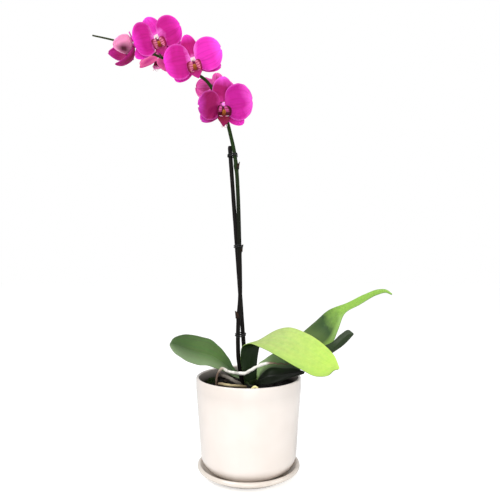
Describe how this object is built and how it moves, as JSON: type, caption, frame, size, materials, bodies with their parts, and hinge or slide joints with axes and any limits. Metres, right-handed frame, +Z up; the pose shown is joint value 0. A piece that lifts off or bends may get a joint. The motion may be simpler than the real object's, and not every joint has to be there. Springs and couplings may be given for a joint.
{
  "type": "potted orchid",
  "caption": "Moth orchid with strap leaves, aerial roots and a staked, arching spike of magenta flowers, in a white glazed pot that stands on a saucer.",
  "frame": {"origin": "centre of the saucer's flat foot, on the surface that the plant stands on", "axes": "+Z up, -Y the side that the open flowers face, +X towards the long leaves"},
  "size_m": [0.425, 0.1826, 0.5839],
  "materials": {
    "saucer": "gloss",
    "pot": "gloss",
    "growing_medium": "matte",
    "crown": "satin",
    "leaves": "satin",
    "leaf_front": "satin",
    "roots": "matte",
    "flower_spike": "satin",
    "stake": "matte",
    "ties": "matte",
    "sepals": "matte",
    "petals": "matte",
    "lips": "satin",
    "columns": "satin"
  },
  "bodies": {
    "root": {"saucer": "saucer", "pot": "pot", "growing_medium": "growing_medium", "crown": "crown", "leaf_left": "leaves", "leaf_front": "leaf_front", "leaf_back": "leaves", "leaf_right": "leaves", "leaf_low": "leaves", "root_aerial": "roots", "root_pale": "roots", "root_grey": "roots", "flower_spike": "flower_spike", "stake": "stake", "tie_bottom": "ties", "tie_middle": "ties", "tie_top": "ties", "flower_1_dorsal_sepal": "sepals", "flower_1_sepal_left": "sepals", "flower_1_sepal_right": "sepals", "flower_1_petal_left": "petals", "flower_1_petal_right": "petals", "flower_1_lip": "lips", "flower_1_column": "columns", "flower_2_dorsal_sepal": "sepals", "flower_2_sepal_left": "sepals", "flower_2_sepal_right": "sepals", "flower_2_petal_left": "petals", "flower_2_petal_right": "petals", "flower_2_lip": "lips", "flower_2_column": "columns", "flower_3_dorsal_sepal": "sepals", "flower_3_sepal_left": "sepals", "flower_3_sepal_right": "sepals", "flower_3_petal_left": "petals", "flower_3_petal_right": "petals", "flower_3_lip": "lips", "flower_3_column": "columns", "flower_4_dorsal_sepal": "sepals", "flower_4_sepal_left": "sepals", "flower_4_sepal_right": "sepals", "flower_4_petal_left": "petals", "flower_4_petal_right": "petals", "flower_4_lip": "lips", "flower_4_column": "columns", "flower_5_dorsal_sepal": "sepals", "flower_5_sepal_left": "sepals", "flower_5_sepal_right": "sepals", "flower_5_petal_left": "petals", "flower_5_petal_right": "petals", "flower_5_lip": "lips", "flower_5_column": "columns", "flower_6_dorsal_sepal": "sepals", "flower_6_sepal_left": "sepals", "flower_6_sepal_right": "sepals", "flower_6_petal_left": "petals", "flower_6_petal_right": "petals", "flower_6_lip": "lips", "flower_6_column": "columns"}
  },
  "joints": []
}
